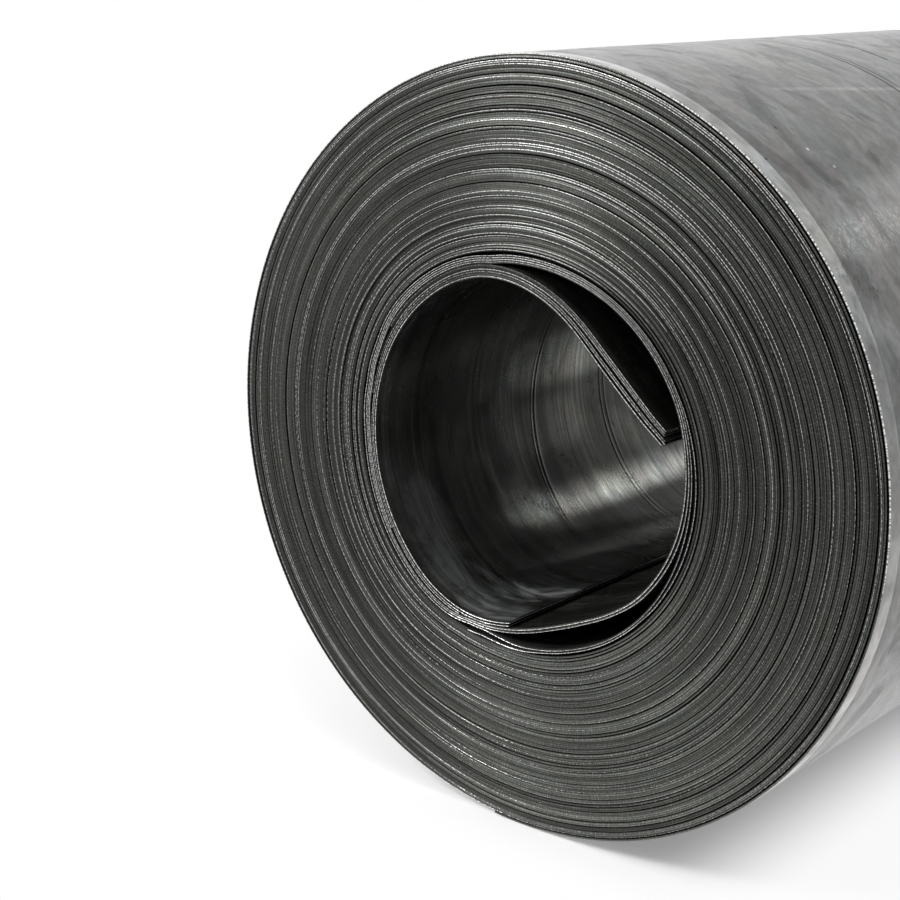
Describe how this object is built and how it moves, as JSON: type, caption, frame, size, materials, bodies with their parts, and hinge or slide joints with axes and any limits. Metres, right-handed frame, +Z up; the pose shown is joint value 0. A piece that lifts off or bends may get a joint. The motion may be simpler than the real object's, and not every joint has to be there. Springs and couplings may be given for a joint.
{
  "type": "steel coil",
  "caption": "Wound coil of hot-rolled steel strip lying on its side, with an open eye, stepped ends and loosened inner turns.",
  "frame": {"origin": "on the ground plane under the middle of the coil", "axes": "+Z up; the coil's axis runs along Y at half its height; the end with the loosened turns described here faces -Y"},
  "size_m": [1.25, 1.25, 1.25],
  "materials": {
    "mill_steel": "dark mill scale with a dull sheen, burred cut edges on the ends"
  },
  "bodies": {
    "root": {"coil": "mill_steel"}
  },
  "joints": []
}
